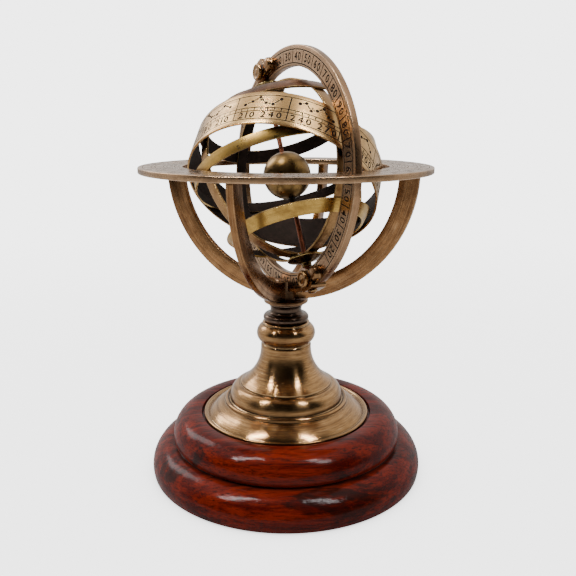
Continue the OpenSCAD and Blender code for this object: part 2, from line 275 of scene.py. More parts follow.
def box_data(cx, cy, wx, wy, z0, z1, turn=0.0):
    c, s = math.cos(turn), math.sin(turn)
    pts = [(-wx / 2, -wy / 2), (wx / 2, -wy / 2), (wx / 2, wy / 2), (-wx / 2, wy / 2)]
    return prism_data([(cx + x * c - y * s, cy + x * s + y * c) for x, y in pts], z0, z1)


def stroke(p, q, w, z0, z1):
    dx, dy = q[0] - p[0], q[1] - p[1]
    return box_data((p[0] + q[0]) / 2, (p[1] + q[1]) / 2, math.hypot(dx, dy), w, z0, z1, math.atan2(dy, dx))


def dot(cx, cy, r, z0, z1, n=10):
    turns = [TAU * k / n for k in range(n)]
    return prism_data([(cx + r * math.cos(t), cy + r * math.sin(t)) for t in turns], z0, z1)


def flat_ring(r_in, r_out, z0, z1, segs=SEGS):
    return lathe_data([(r_in, z0), (r_out, z0), (r_out, z1), (r_in, z1)], segs)


def rod_data(r, z0, z1, segs=32):
    return lathe_data([(0, z0), (r, z0), (r, z1), (0, z1)], segs)


def on_disc(r, phi):
    """Puts flat data on a disc face at radius r and angle phi, its top pointing outwards."""
    def fn(x, y, z):
        rr, a = r + y, phi - x / r
        return rr * math.cos(a), rr * math.sin(a), z
    return fn


# ---------------------------------------------------------------- materials
def add_node(tree, kind, inputs=None, **props):
    n = tree.nodes.new(kind)
    for k, v in props.items():
        setattr(n, k, v)
    for k, v in (inputs or {}).items():
        if isinstance(v, bpy.types.NodeSocket):
            tree.links.new(v, n.inputs[k])
        else:
            n.inputs[k].default_value = v
    return n


def remap_node(tree, v, a, b, c, d):
    """v from a..b to c..d, eased at both ends."""
    return add_node(tree, "ShaderNodeMapRange", {0: v, 1: a, 2: b, 3: c, 4: d},
                    interpolation_type="SMOOTHSTEP").outputs[0]


def output_node(tree, kind):
    return [n for n in tree.nodes if n.type == kind][0]


class Shader:
    """Builds one procedural material. Positions are in millimetres in the frame given by matrix."""

    def __init__(self, name, matrix=WORLD):
        self.material = bpy.data.materials.new(name)
        self.material.use_nodes = True
        self.tree = self.material.node_tree
        self.bsdf = self.tree.nodes["Principled BSDF"]
        self.matrix = matrix
        loc, quat, _ = matrix.decompose()
        obj = self.add("ShaderNodeTexCoord").outputs["Object"]
        mm = self.vec("SCALE", obj, 1000.0)
        mp = self.add("ShaderNodeMapping", {"Vector": mm}, vector_type="TEXTURE")
        mp.inputs["Location"].default_value = loc
        mp.inputs["Rotation"].default_value = quat.to_euler()
        self.p = mp.outputs[0]
        sep = self.add("ShaderNodeSeparateXYZ", {0: self.p})
        self.x, self.y, self.z = sep.outputs
        xx, yy = self.math("MULTIPLY", self.x, self.x), self.math("MULTIPLY", self.y, self.y)
        self.r = self.math("SQRT", self.math("ADD", xx, yy))
        self.loc = loc

    def add(self, kind, inputs=None, **props):
        return add_node(self.tree, kind, inputs, **props)

    def math(self, op, a, b=0.0):
        return self.add("ShaderNodeMath", {0: a, 1: b}, operation=op).outputs[0]

    def times(self, a, b):
        return self.math("MULTIPLY", a, b)

    def plus(self, a, b):
        return self.math("ADD", a, b)

    def vec(self, op, a, b=None):
        if op == "SCALE":
            return self.add("ShaderNodeVectorMath", {0: a, "Scale": b}, operation=op).outputs[0]
        n = self.add("ShaderNodeVectorMath", {0: a, **({1: b} if b is not None else {})}, operation=op)
        return n.outputs["Value"] if op in ("DOT_PRODUCT", "LENGTH") else n.outputs[0]

    def join(self, x, y, z):
        return self.add("ShaderNodeCombineXYZ", {0: x, 1: y, 2: z}).outputs[0]

    def noise(self, v, scale, detail=3.0, rough=0.55, distort=0.0):
        inputs = {"Vector": v, "Scale": scale, "Detail": detail, "Roughness": rough, "Distortion": distort}
        return self.add("ShaderNodeTexNoise", inputs).outputs[0]

    def mix(self, f, a, b):
        n = self.add("ShaderNodeMix", data_type="RGBA")
        for i, v in ((0, f), (6, a), (7, b)):
            if isinstance(v, bpy.types.NodeSocket):
                self.tree.links.new(v, n.inputs[i])
            else:
                n.inputs[i].default_value = v if i == 0 else (*v, 1)[:4]
        return n.outputs[2]

    def remap(self, v, a, b, c=0.0, d=1.0):
        return remap_node(self.tree, v, a, b, c, d)

    def occlusion(self, distance, samples, local=True):
        return self.add("ShaderNodeAmbientOcclusion", {"Distance": distance}, samples=samples,
                        only_local=local).outputs["AO"]

    def put(self, **inputs):
        for k, v in inputs.items():
            s = self.bsdf.inputs[k.replace("_", " ")]
            if isinstance(v, bpy.types.NodeSocket):
                self.tree.links.new(v, s)
            else:
                colour = isinstance(v, tuple) and len(v) == 3 and s.type == "RGBA"
                s.default_value = (*v, 1) if colour else v

    def bump(self, height, strength, distance, sockets=("Normal",)):
        n = self.add("ShaderNodeBump", {"Height": height, "Strength": strength, "Distance": distance})
        for k in sockets:
            self.tree.links.new(n.outputs[0], self.bsdf.inputs[k])

    def along(self):
        """World vector round the frame's axis, for brushed highlights."""
        axis = tuple(self.matrix.to_3x3() @ Vector((0, 0, 1)))
        obj = self.add("ShaderNodeTexCoord").outputs["Object"]
        rel = self.vec("SUBTRACT", obj, tuple(self.loc * MM))
        t = self.add("ShaderNodeVectorMath", {0: axis, 1: rel}, operation="CROSS_PRODUCT").outputs[0]
        w = self.add("ShaderNodeVectorTransform", {0: t}, vector_type="VECTOR", convert_from="OBJECT",
                     convert_to="WORLD")
        return self.vec("NORMALIZE", w.outputs[0])


def brass(name, matrix, base, dark, bright, rough=0.3, patina=0.5, lines=0.5, line_scale=2.2, aniso=0.5,
          crevice=1.0, bump=0.25, blotch=0.06):
    """Antique brass turned or brushed round the frame's axis: fine lines, dark patina in patches and in
    corners, and edges brightened, partly as wear and partly as a painted highlight."""
    s = Shader(name, matrix)
    inv = s.math("DIVIDE", 1.0, s.math("MAXIMUM", s.r, 0.5))
    cx, cy = s.times(s.x, inv), s.times(s.y, inv)
    ring = s.join(s.plus(s.times(s.r, line_scale), s.times(cx, 0.9)),
                  s.plus(s.times(s.z, line_scale), s.times(cy, 0.9)),
                  s.times(s.plus(cx, cy), 0.6))
    coarse = s.noise(ring, 1.0, 5.0, 0.7)
    fine = s.noise(ring, 6.0, 3.0, 0.6)
    blot = s.noise(s.p, blotch, 4.0, 0.6, 0.4)
    blot2 = s.noise(s.p, blotch * 5, 3.0, 0.6, 0.3)
    mask = s.remap(s.plus(s.times(blot, 0.65), s.times(blot2, 0.35)), 0.42, 0.66)
    color = s.mix(s.times(mask, patina), base, dark)
    color = s.mix(s.times(s.remap(coarse, 0.35, 0.7), lines * 0.6), color, dark)
    color = s.mix(s.times(s.remap(fine, 0.5, 0.75), lines * 0.45), color, bright)
    if crevice:
        ao = s.occlusion(0.0022, 6)
        color = s.mix(s.remap(ao, 0.95, 0.45, 0.0, crevice), color, tuple(c * 0.25 for c in dark))
    # edges are mixed towards the bright colour: partly wear, partly a painted highlight
    bev = s.add("ShaderNodeBevel", {"Radius": 0.00035}, samples=4).outputs[0]
    geo = s.add("ShaderNodeNewGeometry").outputs["Normal"]
    edge = s.remap(s.vec("DOT_PRODUCT", bev, geo), 0.995, 0.93)
    color = s.mix(s.times(edge, 0.6), color, bright)
    uneven = s.times(s.math("SUBTRACT", s.plus(coarse, blot2), 1.0), 0.28)
    s.put(Base_Color=color, Metallic=1.0, Anisotropic=aniso, Anisotropic_Rotation=0.25,
          Roughness=s.plus(rough, uneven))
    s.tree.links.new(s.along(), s.bsdf.inputs["Tangent"])
    grain = s.noise(s.p, 6.0, 3.0, 0.6)
    s.bump(s.plus(s.times(fine, 0.7), s.plus(coarse, s.times(grain, 0.5))), bump, 0.00003)
    return s.material


# near-black with brown scuffs, laid on the cage's inner faces and cut laps as painted shade
def blackened(name, matrix):
    s = Shader(name, matrix)
    n = s.noise(s.p, 0.25, 5.0, 0.65)
    scuff = s.remap(s.noise(s.p, 1.6, 4.0, 0.7), 0.58, 0.75)
    color = s.mix(s.remap(n, 0.4, 0.7), (0.010, 0.007, 0.006), (0.024, 0.015, 0.012))
    color = s.mix(s.times(scuff, 0.25), color, (0.12, 0.075, 0.05))
    s.put(Base_Color=color, Metallic=0.0, Specular_IOR_Level=0.12, Specular_Tint=(1.0, 0.72, 0.55),
          Roughness=s.plus(0.42, s.times(n, 0.3)))
    s.bump(n, 0.2, 0.00004)
    return s.material


def groove_fill(name):
    s = Shader(name)
    s.put(Base_Color=s.mix(s.noise(s.p, 3.0), (0.008, 0.004, 0.003), (0.025, 0.012, 0.007)), Metallic=0.0,
          Specular_IOR_Level=0.08, Roughness=0.7)
    return s.material


def lacquered_wood():
    s = Shader("lacquered_wood")
    # the grain runs along one horizontal direction of the board the base was turned from
    g = math.radians(-22)
    u = s.plus(s.times(s.x, math.cos(g)), s.times(s.y, math.sin(g)))
    v = s.math("SUBTRACT", s.times(s.y, math.cos(g)), s.times(s.x, math.sin(g)))

    def stretched(along, across, upright):
        return s.join(s.times(u, along), s.times(v, across), s.times(s.z, upright))

    warp = s.times(s.noise(stretched(0.02, 0.03, 0.03), 1.0, 2.0), 4.0)
    grain = s.join(s.times(u, 0.035), s.times(s.plus(v, warp), 0.30), s.times(s.plus(s.z, warp), 0.75))
    broad = s.noise(grain, 0.55, 4.0, 0.6, 0.3)
    fibre = s.noise(grain, 3.2, 5.0, 0.7, 0.15)
    hair = s.noise(stretched(0.1, 2.4, 3.4), 1.6, 3.0, 0.6)
    patch = s.noise(stretched(0.035, 0.06, 0.09), 1.0, 5.0, 0.65, 0.6)
    color = s.mix(s.remap(broad, 0.38, 0.62), (0.052, 0.0018, 0.0007), (0.150, 0.0100, 0.0020))
    color = s.mix(s.remap(fibre, 0.46, 0.66, 0.0, 0.85), color, (0.012, 0.0012, 0.0006))
    color = s.mix(s.remap(hair, 0.55, 0.75, 0.0, 0.5), color, (0.21, 0.027, 0.005))
    color = s.mix(s.remap(patch, 0.55, 0.66, 0.0, 0.8), color, (0.008, 0.0022, 0.0012))
    # painted shade: darker where the wood's recesses and groove are occluded
    color = s.mix(s.remap(s.occlusion(0.006, 8), 0.85, 0.35, 0.0, 0.9), color, (0.012, 0.006, 0.004))
    s.put(Base_Color=color, Roughness=s.plus(0.32, s.times(fibre, 0.2)), Specular_IOR_Level=0.03,
          Coat_Weight=0.4, Coat_IOR=1.34, Coat_Roughness=s.plus(0.03, s.times(patch, 0.1)))
    dent = s.noise(s.p, 0.22, 3.0, 0.5)
    h = s.plus(s.times(dent, 3.0), s.plus(s.times(hair, 0.25), s.times(fibre, 0.5)))
    s.bump(h, 0.45, 0.00012, ("Normal", "Coat Normal"))
    return s.material


def felt_cloth():
    s = Shader("felt_cloth")
    n = s.noise(s.p, 5.0, 5.0, 0.7)
    s.put(Base_Color=s.mix(n, (0.008, 0.03, 0.015), (0.03, 0.08, 0.045)), Roughness=0.95, Sheen_Weight=0.5)
    s.bump(n, 0.8, 0.0002)
    return s.material


def plated_steel():
    s = Shader("plated_steel")
    n = s.noise(s.p, 1.5, 4.0)
    s.put(Base_Color=s.mix(n, (0.45, 0.45, 0.46), (0.62, 0.61, 0.58)), Metallic=1.0,
          Roughness=s.plus(0.25, s.times(n, 0.2)))
    s.bump(n, 0.2, 0.00005)
    return s.material


GROOVE = groove_fill("groove_fill")
# each brass: base, patina, and bright colour for fine lines and for edges (wear and painted highlight), then
# roughness, patina, lines, line_scale, aniso
FOOT = brass("turned_brass", WORLD, (0.44, 0.245, 0.10), (0.055, 0.018, 0.007), (0.86, 0.63, 0.37),
             0.19, 0.3, 1.0, 2.3, 0.9, blotch=0.04, bump=0.35)
BRONZE = brass("dark_bronze", WORLD, (0.13, 0.085, 0.06), (0.02, 0.012, 0.01), (0.45, 0.34, 0.25),
               0.24, 0.6, 0.4, 2.0, 0.3)
HUB_MAT = brass("hub_brass", WORLD, (0.26, 0.15, 0.08), (0.05, 0.022, 0.012), (0.62, 0.42, 0.25),
                0.34, 0.7, 0.2, 1.2, 0.0, bump=1.0)
HORIZON_MAT = brass("horizon_brass", HORIZON, (0.47, 0.29, 0.16), (0.07, 0.032, 0.016), (0.82, 0.60, 0.39),
                    0.28, 0.5, 0.5, 1.5, 0.3)
MERIDIAN_MAT = brass("meridian_brass", MERIDIAN, (0.38, 0.22, 0.118), (0.062, 0.034, 0.02),
                     (0.82, 0.60, 0.38), 0.30, 0.5, 0.5, 1.5, 0.3)
SADDLE_MAT = brass("saddle_brass", MERIDIAN, (0.36, 0.20, 0.09), (0.05, 0.02, 0.01), (0.80, 0.55, 0.28),
                   0.24, 0.6, 0.1, 1.0, 0.0)
SCREW_MAT = brass("screw_brass", MERIDIAN, (0.40, 0.23, 0.10), (0.06, 0.025, 0.012), (0.80, 0.58, 0.30),
                  0.22, 0.5, 0.2, 2.0, 0.2)
ROD_MAT = brass("copper_rod", AXIS, (0.26, 0.085, 0.045), (0.035, 0.013, 0.009), (0.6, 0.30, 0.18),
                0.3, 0.5, 0.5, 1.5, 0.3)
GLOBE_MAT = brass("globe_brass", AXIS, (0.30, 0.18, 0.062), (0.06, 0.028, 0.010), (0.60, 0.42, 0.18),
                  0.33, 0.45, 0.2, 1.2, 0.1, crevice=0, bump=0.6)
INSIDE = blackened("blackened", AXIS)


def hoop_brass(name, matrix, base=(0.58, 0.36, 0.095), patina=0.55, rough=0.3, dark=(0.13, 0.055, 0.014)):
    return brass(name, matrix, base, dark, (0.84, 0.60, 0.24), rough, patina, 0.4, 1.3, 0.35, blotch=0.09)


# ---------------------------------------------------------------- wooden base and felt
WOOD_MAT = lacquered_wood()
FELT_R, FELT_RECESS = 46.2, 0.8
wood = make("wooden_base", lathe_data(
    [(FELT_R, 0.3), (49.9, 0.3), (50.2, 0.5)] + arc(42.0, 2.8, 8.5, -14, 88, 40)
    + arc(42.2, 11.9, 0.55, 262, 200, 5) + arc(34.5, 13.6, 8.0, -10, 88, 34)
    + [(32.2, 21.6), (31.85, 21.5), (31.7, 21.2), (31.7, 20.1), (BOLT_R, 20.1), (BOLT_R, 6), (6.5, 6),
       (6.5, FELT_RECESS), (FELT_R, FELT_RECESS)]), materials=[WOOD_MAT])
felt_outline = [(0.001, 0), (46.0, 0), (46.0, 0.78), (0.001, 0.78)]
felt = make("base_felt", lathe_data(rounded(felt_outline, [0, 0.2, 0.2, 0]), 128), materials=[felt_cloth()])

# ---------------------------------------------------------------- brass foot
BELL_TOP, BELL_TOP_R, BELL_FOOT, BELL_FOOT_R = 46.5, 9.3, 33.0, 16.9
BELL_RISE, BELL_RUN = BELL_TOP - BELL_FOOT, BELL_FOOT_R - BELL_TOP_R
BELL_R = (BELL_RISE ** 2 + BELL_RUN ** 2) / (2 * BELL_RUN)
BELL_A = math.degrees(math.asin(BELL_RISE / BELL_R))
foot_profile = (
    [(BOLT_R, 20.1), (30.9, 20.1), (30.9, 21.3)] + arc(30.3, 21.3, 0.6, 10, 150, 7)
    + [(29.35, 21.5), (29.2, 21.35), (29.05, 21.45), (28.9, 21.7), (23.4, 25.35), (23.15, 25.35), (23.0, 25.6)]
    + arc(22.3, 26.2, 0.65, -20, 90, 7) + [(21.6, 26.7), (21.35, 26.5), (21.1, 26.65)]
    + [(17.4 + 3.6 * c, 26.9 + 5.3 * s) for c, s in arc(0, 0, 1, 0, 90, 16)]   # the ogee, a quarter ellipse
    + [(17.1, 32.2), (16.95, 32.45), (BELL_FOOT_R, 32.8)]
    + arc(BELL_TOP_R + BELL_R, BELL_TOP, BELL_R, 180 + BELL_A, 180, 36)
    + [(BELL_TOP_R, 47.3), (9.15, 47.6), (8.95, 47.85), (8.95, 48.1)]
    + arc(6.9, 51.7, 3.9, -60, 62, 26) + [(8.5, 55.15), (8.38, 55.35)]
    + arc(8.3, 55.75, 0.35, -60, 90, 6) + [(BOLT_R, 56.1)])
foot = make("foot", lathe_data(foot_profile), materials=[FOOT])

# ---------------------------------------------------------------- collar and hub
SPIGOT_R, PLATE_TOP, BOSS_R, BOSS_TOP = 3.6, 64.66, 3.9, 71.8
collar = make("stem_collar", lathe_data(
    [(BOLT_R, 56.12), (6.85, 56.12)] + arc(6.85, 57.62, 1.5, -90, 90, 16)
    + [(6.5, 59.2), (6.1, 59.45), (5.75, 60.0), (5.7, 60.8), (5.85, 61.6), (6.25, 62.3), (6.6, 62.75),
       (6.6, 63.24), (SPIGOT_R + GAP, 63.24), (SPIGOT_R + GAP, 59.0), (BOLT_R, 59.0)], 144),
    materials=[BRONZE])
hub = make("hub", lathe_data(
    [(2.02, 59.3), (SPIGOT_R, 59.3), (SPIGOT_R, 63.26), (7.5, 63.26), (7.9, 63.4), (8.1, 63.75), (8.1, 64.35),
     (7.95, 64.6), (7.7, PLATE_TOP), (BOSS_R, PLATE_TOP), (BOSS_R, 71.55), (3.65, BOSS_TOP), (0, BOSS_TOP),
     (0, 66.6), (2.02, 66.6)], 96), materials=[HUB_MAT])
TENON_SLOT = 5.2, 3.68            # the middle and the inner end of the slot for an arm's tenon
for turn in ARM_TURNS:
    mid, end = TENON_SLOT
    cut(hub, box_data(mid, 0, 2 * (mid - end), 2 * (ARM_HALF + GAP), PLATE_TOP + 0.01, 80), rot(turn, "Z"))
cut(hub, box_data(0, 0, NOTCH_W, 16.4, -MERIDIAN_R - 0.1, -20), MERIDIAN_PLANE)
bevel(hub, 0.12, 2)


# ---------------------------------------------------------------- cradle arms
def arm(name, turn):
    """A quarter ring from its tip under the horizon ring (top) to its tenon in the hub (root)."""
    top, root = -HORIZON_HALF - GAP, 3.7

    def edge(r):
        return arc(0, 0, r, -math.degrees(math.acos(root / r)), math.degrees(math.asin(top / r)), 72)

    outline = edge(ARM_OUT) + edge(ARM_IN)[::-1]
    data = move_data(prism_data(outline, -ARM_HALF, ARM_HALF), lambda x, y, z: (x, -z, y))
    matrix = HORIZON @ rot(turn, "Z")
    mat = brass(name + "_brass", matrix @ rot(90, "X"), (0.37, 0.19, 0.078), (0.075, 0.026, 0.011),
                (0.76, 0.52, 0.29), 0.27, 0.5, 1.0, 1.8, 0.5)
    ob = make(name, data, matrix, [mat])
    bevel(ob, 0.25, 3)
    return ob


corners = ("southwest", "southeast", "northeast", "northwest")
arms = [arm("cradle_arm_" + n, t) for n, t in zip(corners, ARM_TURNS)]


# ---------------------------------------------------------------- engraving
def figure(seed, w, h, line, star):
    """A generic star figure by formula: points joined by short lines, none touching another stroke."""
    n = 5 + seed % 3
    pts = []
    for i in range(n):
        a = seed * 2.4 + i * 1.9
        pts.append((-w / 2 + w * i / (n - 1), h * 0.42 * math.sin(a) + h * 0.08 * math.cos(3 * a)))
    parts = [dot(x, y, star, 0, 1) for x, y in pts]
    for p, q in zip(pts, pts[1:]):
        dx, dy = q[0] - p[0], q[1] - p[1]
        k = (star + 0.12) / math.hypot(dx, dy)
        parts.append(stroke((p[0] + dx * k, p[1] + dy * k), (q[0] - dx * k, q[1] - dy * k), line, 0, 1))
    # one short branch, away from the middle line
    a = pts[seed % (n - 1)]
    side = -1 if a[1] > 0 else 1
    b = (a[0] + 0.25 * w / n, a[1] + side * h * 0.42)
    k = (star + 0.12) / math.hypot(b[0] - a[0], b[1] - a[1])
    parts.append(stroke((a[0] + (b[0] - a[0]) * k, a[1] + (b[1] - a[1]) * k), b, line, 0, 1))
    return join_data(parts)


def sink(data, top):
    """Figures (z 0 to 1) or strokes set into a surface at height top."""
    return move_data(data, lambda x, y, z: (x, y, top - DEPTH + z * (DEPTH + 0.4)))


# ---------------------------------------------------------------- horizon ring
def rounded_ring(name, r_in, r_out, half, radius, matrix, mat):
    outline = rounded([(r_in, -half), (r_out, -half), (r_out, half), (r_in, half)], radius, 4)
    return make(name, lathe_data(outline, 360), matrix, [mat, GROOVE])


def circles(radii, half, top, over):
    return join_data([flat_ring(r - half, r + half, top - DEPTH, top + over, 360) for r in radii])


horizon = rounded_ring("horizon_ring", HORIZON_IN, HORIZON_OUT, HORIZON_HALF, 0.32, HORIZON, HORIZON_MAT)
cut(horizon, box_data(0, 0, NOTCH_W, 85.0, -3, 5), MERIDIAN_PLANE)
cut(horizon, circles((37.0, 38.5, 41.0, 42.1, 45.0, 46.3, 49.1), 0.1, HORIZON_HALF, 0.5), HORIZON, GROOVE)
marks = []
# ticks between the circles, every 2.5 or 5 degrees
for k in range(144):
    a = math.radians(2.5 * k + 1.25)
    c, s = math.cos(a), math.sin(a)
    for r0, r1, every in ((37.2, 38.3, 1), (45.2, 46.1, 1), (41.2, 41.9, 2)):
        if k % every == 0:
            marks.append(box_data((r0 + r1) / 2 * c, (r0 + r1) / 2 * s, r1 - r0, 0.2, 0, 1, a))
# degrees inside, and the numbers 1 to 36 outside, but for the ones at the notches
for k in range(36):
    a = math.radians(10 * k + 5)
    if abs(abs((10 * k + 5) % 180 - 90)) > 6:
        marks.append(move_data(word(str(10 * k), 1.5, 0.18), on_disc(39.75, a)))
        marks.append(move_data(word(str(k + 1), 1.8, 0.2), on_disc(47.7, a)))
FIGURE_R = 43.55
for k in range(12):
    a = math.radians(30 * k + 10)
    marks.append(box_data(FIGURE_R * math.cos(a), FIGURE_R * math.sin(a), 2.6, 0.22, 0, 1, a))
    marks.append(move_data(figure(k, 9.0, 1.9, 0.22, 0.28), on_disc(FIGURE_R, a + math.radians(15))))
cut(horizon, sink(join_data(marks), HORIZON_HALF), HORIZON, GROOVE)
screw_hole = lathe_data([(0, -3), (0.62, -3), (0.62, 0.43), (1.18, 1.0), (1.18, 1.6), (0, 1.6)], 48)
screw = lathe_data([(0, -4), (0.6, -4), (0.6, 0.45), (1.12, 0.93), (1.05, 1.0), (0, 1.0)], 48)
screws, slots = [], []
for turn in ARM_TURNS:
    m = rot(turn, "Z") @ Matrix.Translation((ARM_MID, 0, 0))
    cut(horizon, screw_hole, HORIZON @ m)
    screws.append(move_data(screw, placed(m)))
    c, s = math.cos(math.radians(turn)), math.sin(math.radians(turn))
    slots.append(box_data(ARM_MID * c, ARM_MID * s, 3, 0.26, 0.75, 1.5, math.radians(turn + 35)))
smooth(horizon, 30)
screw_ob = make("horizon_screws", join_data(screws), HORIZON, [SCREW_MAT, GROOVE])
cut(screw_ob, join_data(slots), HORIZON, GROOVE)

# ---------------------------------------------------------------- meridian ring
meridian = rounded_ring("meridian_ring", MERIDIAN_IN, MERIDIAN_R, MERIDIAN_HALF, 0.3, MERIDIAN, MERIDIAN_MAT)
cut(meridian, circles((36.35, 40.75), 0.2, MERIDIAN_HALF, 0.5), MERIDIAN, GROOVE)
marks = []
SCALE_TURN = 4.0                  # the scale is turned a little from the poles
SCALE_R = 38.55
for k in range(36):
    phi = math.radians(10 * k + SCALE_TURN)
    n = 10 * min(k % 18, 18 - k % 18)
    if n > 10:
        marks.append(move_data(word(str(n), 2.9, 0.18, 0.95), on_disc(SCALE_R, phi)))
    e = phi + math.radians(5)
    marks.append(box_data(SCALE_R * math.cos(e), SCALE_R * math.sin(e), 3.9, 0.46, 0, 1, e))
cut(meridian, sink(join_data(marks), MERIDIAN_HALF), MERIDIAN, GROOVE)
for side in (0, 180):
    cut(meridian, rod_data(ROD_BORE_R, 30, 50), AXIS @ rot(side, "X"))
smooth(meridian, 30)


# ---------------------------------------------------------------- hoops
def hoop(name, r_in, t, w, matrix, mat, lat=0.0, corner=0.1):
    """A thin hoop at latitude lat whose inner face is near-black, as painted shade."""
    c, s = math.cos(math.radians(lat)), math.sin(math.radians(lat))
    pts = rounded([(r_in, -w / 2), (r_in + t, -w / 2), (r_in + t, w / 2), (r_in, w / 2)], corner, 3)
    profile = [(x * c - z * s, x * s + z * c) for x, z in pts]
    ob = make(name, lathe_data(profile, 360), matrix, [mat, INSIDE, GROOVE])
    inverse = matrix.to_3x3().inverted()
    place = matrix.inverted()
    # inner faces take the near-black material: painted shade
    for p in ob.data.polygons:
        q = place @ (p.center / MM)
        n = inverse @ p.normal
        flat = Vector((q.x, q.y, 0)).normalized()
        if flat.dot(n) * c + n.z * s < -0.9:
            p.material_index = 1
    return ob


COLURE_BRASS, TROPIC_N_SHADED, PLATE_BRASS = (0.34, 0.19, 0.08), (0.20, 0.085, 0.04), (0.15, 0.095, 0.035)
equinox = hoop("equinoctial_colure", COLURE_R - HOOP_T, HOOP_T, COLURE_W, EQUINOX,
               hoop_brass("equinox_brass", EQUINOX, COLURE_BRASS, 0.85))
solstice = hoop("solstitial_colure", COLURE_R - HOOP_T, HOOP_T, COLURE_W, SOLSTICE,
                hoop_brass("solstice_brass", SOLSTICE, COLURE_BRASS, 0.85))
# the colures are halved into each other at the poles, and drilled for the rod
LAP = COLURE_R - HOOP_T / 2
for ob, wx, wy, z0, z1 in ((equinox, COLURE_W + 2 * GAP, 8.0, LAP, COLURE_R + 1),
                           (solstice, 8.0, COLURE_W + 2 * GAP, COLURE_R - 2 * HOOP_T, LAP + GAP)):
    for side in (0, 180):
        turned = CAGE @ rot(side, "X")
        # the cut faces take the near-black material as painted shade
        cut(ob, box_data(0, 0, wx, wy, z0, z1), turned, INSIDE)
        cut(ob, rod_data(1.25, 25, 35), turned, INSIDE)
equator = hoop("equator_hoop", HOOP_R, HOOP_T, EQUATOR_W, CAGE, hoop_brass("equator_brass", CAGE))
# the north tropic gets a darker base and more of the dark mix than the south tropic: painted shade
north_mat = hoop_brass("north_tropic_brass", CAGE, TROPIC_N_SHADED, 0.9, 0.3, (0.04, 0.015, 0.008))
tropic_n = hoop("north_tropic_hoop", HOOP_R, HOOP_T, TROPIC_W, CAGE, north_mat, TROPIC_N)
tropic_s = hoop("south_tropic_hoop", HOOP_R, HOOP_T, TROPIC_W, CAGE,
                hoop_brass("south_tropic_brass", CAGE), TROPIC_S)

# ---------------------------------------------------------------- zodiac band
ZODIAC_MAT = brass("zodiac_brass", ZODIAC, (0.58, 0.355, 0.145), (0.15, 0.068, 0.022), (0.90, 0.68, 0.38),
                   0.28, 0.55, 0.45, 1.3, 0.35, blotch=0.07)
zodiac = hoop("zodiac_band", ZODIAC_IN, HOOP_T, ZODIAC_W, ZODIAC, ZODIAC_MAT, 0, 0.15)


def on_band(angle, up=0.0):
    """Puts flat data on the band's outer face at an angle, moved up along the band's axis."""
    def fn(x, y, z):
        r, a = ZODIAC_R + z, angle + x / ZODIAC_R
        return r * math.cos(a), r * math.sin(a), y + up
    return fn


def band_ring(z, w):
    return flat_ring(ZODIAC_R - DEPTH, ZODIAC_R + 0.4, z - w / 2, z + w / 2, 360)


cut(zodiac, join_data([band_ring(z, 0.36) for z in (4.9, -0.2, -1.6, -4.9)]), ZODIAC, GROOVE)
marks = []
for k in range(12):
    a = math.radians(30 * k - ZODIAC_TURN)
    mid = a + math.radians(15)
    for y0, y1 in ((0.01, 4.69), (-1.39, -0.41), (-4.69, -1.81)):
        marks.append(move_data(sink(box_data(0, (y0 + y1) / 2, 0.42, y1 - y0, 0, 1), 0), on_band(a)))
    for i in range(1, 8):
        dash = sink(box_data(0, -0.9, 0.36, 0.94, 0, 1), 0)
        marks.append(move_data(dash, on_band(a + math.radians(3.75 * i))))
    marks.append(move_data(sink(figure(k, 11.4, 3.6, 0.5, 0.62), 0), on_band(mid, 2.4)))
    numbers = word(str(30 * k) + " " + str(30 * k + 30), 2.5, 0.3, 1.05)
    marks.append(move_data(sink(numbers, 0), on_band(mid, -3.2)))
cut(zodiac, join_data(marks), ZODIAC, GROOVE)
smooth(zodiac, 30)

# ---------------------------------------------------------------- pole plates, globe, rod
plate_profile = [(GLOBE_BORE_R, HOOP_R)] + [(r, HOOP_R + up) for r, up in (
    (6.0, 0), (6.2, 0.15), (6.2, 0.55), (6.05, 0.7), (5.0, 0.72), (3.4, 1.45), (2.2, 1.85), (1.8, 2.1),
    (1.7, 2.4))]
plate_profile += [(1.7, 34.9), (1.45, 35.2), (GLOBE_BORE_R, 35.2)]
plates = []
for name, m in (("north_pole_plate", CAGE), ("south_pole_plate", CAGE @ rot(180, "X"))):
    mat = hoop_brass(name + "_brass", m, PLATE_BRASS, 0.8, 0.24, (0.03, 0.018, 0.01))
    plates.append(make(name, lathe_data(plate_profile, 96), m, [mat]))
globe_profile = arc(0, -GLOBE_DROP, GLOBE_R, -83.8, 83.8, 72) + [(GLOBE_BORE_R, 6.4), (GLOBE_BORE_R, -9.2)]
globe = make("globe", lathe_data(globe_profile, 160), AXIS, [GLOBE_MAT])
sleeve = rounded([(ROD_BORE_R, -12.4), (1.2, -12.4), (1.2, -9.8), (ROD_BORE_R, -9.8)], 0.08, 2)
globe_collar = make("globe_collar", lathe_data(sleeve, 48), AXIS, [INSIDE])
tip = 0.15
rod = make("axis_rod", lathe_data(
    [(0, -ROD_END), (ROD_R - tip, -ROD_END), (ROD_R, -ROD_END + tip), (ROD_R, ROD_END - tip),
     (ROD_R - tip, ROD_END), (0, ROD_END)], 48), AXIS, [ROD_MAT])

